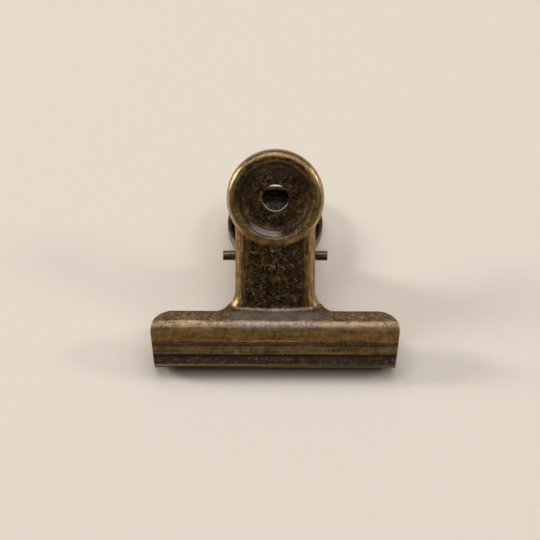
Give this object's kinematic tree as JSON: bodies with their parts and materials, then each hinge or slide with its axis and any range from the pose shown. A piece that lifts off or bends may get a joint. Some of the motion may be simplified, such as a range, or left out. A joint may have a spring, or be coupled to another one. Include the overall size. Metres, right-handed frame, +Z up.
{
  "type": "bulldog clip",
  "caption": "Antique-brass bulldog clip: pressed gripping jaws with round dished finger cups on a split pin, closed by a coiled torsion spring.",
  "frame": {"origin": "on the surface the clip lies on, under the middle of its box", "axes": "+X along the pivot pin, +Y from the mouth toward the finger cups, +Z up off the surface"},
  "size_m": [0.0504, 0.0446, 0.0311],
  "materials": {
    "jaw_sheet": "antique patina, brushed",
    "pin_metal": "dark patina",
    "spring_wire": "drawn wire"
  },
  "bodies": {
    "rear": {"rear_jaw": "jaw_sheet", "pivot_pin": "pin_metal", "torsion_spring": "spring_wire"},
    "front": {"front_jaw": "jaw_sheet"}
  },
  "joints": [
    {"name": "jaw_open", "type": "hinge", "parent": "rear", "child": "front", "pos_m": [0, 0.0003, 0.01049], "axis": [-1, 0, 0], "range_deg": [0, 70], "stiffness_Nm_per_rad": 0.12, "springref_deg": -22.92, "deforming": ["torsion_spring"]}
  ]
}
